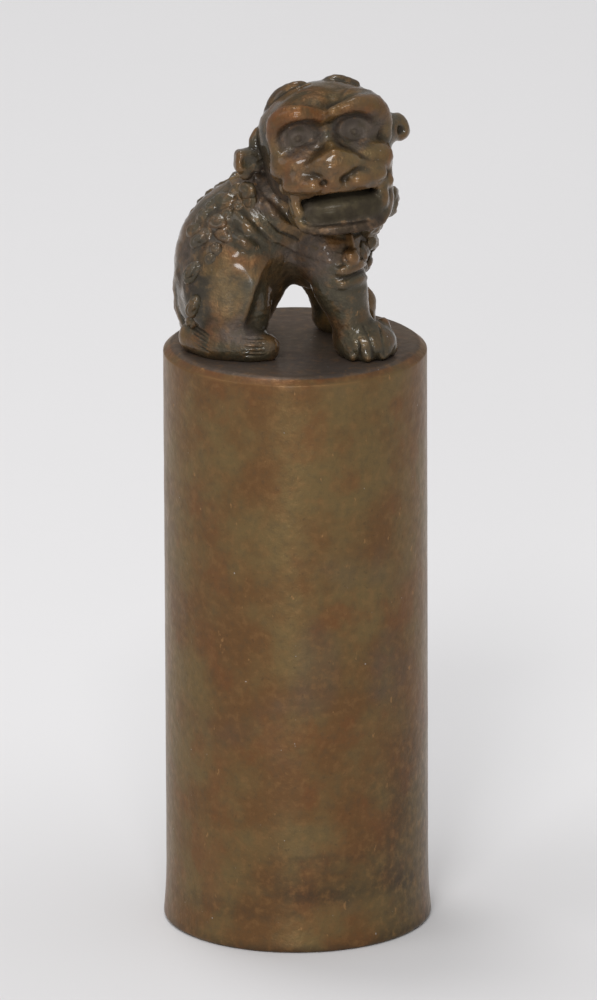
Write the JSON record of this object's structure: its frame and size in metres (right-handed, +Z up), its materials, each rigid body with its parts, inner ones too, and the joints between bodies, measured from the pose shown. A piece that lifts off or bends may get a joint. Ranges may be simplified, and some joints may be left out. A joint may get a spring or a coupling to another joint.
{
  "type": "seal stamp",
  "caption": "Tall round bronze seal stamp with a seated guardian lion as its knob, its head turned over one side, on a plain cylindrical shank with a fret-patterned seal face.",
  "frame": {"origin": "middle of the seal face, on the surface that the stamp stands on", "axes": "+Z up the shank's axis to the lion, +X the way the lion's body faces, -Y the side that its head looks to"},
  "size_m": [0.0234, 0.0234, 0.0765],
  "materials": {
    "shank_bronze": "worn brown patina, satin, fine handling scratches",
    "face_bronze": "dull dark patina in the ground of the relief, bare metal on the printing faces",
    "lion_bronze": "dark brown patina, glossy on the high places",
    "worn_bronze": "brown patina rubbed bright by handling",
    "recess_bronze": "dark grey-green patina, dull"
  },
  "bodies": {
    "root": {"shank": "shank_bronze", "seal_face": "face_bronze", "muzzle": "worn_bronze", "nose": "worn_bronze", "collar_bell": "worn_bronze", "collar_right": "worn_bronze", "collar_left": "worn_bronze", "hind_leg_right": "worn_bronze", "hind_leg_left": "worn_bronze", "tongue": "recess_bronze", "eye_right": "recess_bronze", "eye_left": "recess_bronze", "skull": "lion_bronze", "lower_jaw": "lion_bronze", "brow_right": "lion_bronze", "brow_left": "lion_bronze", "ear_right": "lion_bronze", "ear_left": "lion_bronze", "crest_lock_right": "lion_bronze", "crest_lock_left": "lion_bronze", "nape_curls": "lion_bronze", "back_curls_right": "lion_bronze", "back_curls_left": "lion_bronze", "tail": "lion_bronze", "trunk": "lion_bronze", "mane_ruff": "lion_bronze", "chest": "lion_bronze", "chest_curls": "lion_bronze", "shoulder_right": "lion_bronze", "shoulder_left": "lion_bronze", "foreleg_right": "lion_bronze", "foreleg_left": "lion_bronze", "forepaw_right": "lion_bronze", "forepaw_left": "lion_bronze", "hind_foot_right": "lion_bronze", "hind_foot_left": "lion_bronze"}
  },
  "joints": []
}
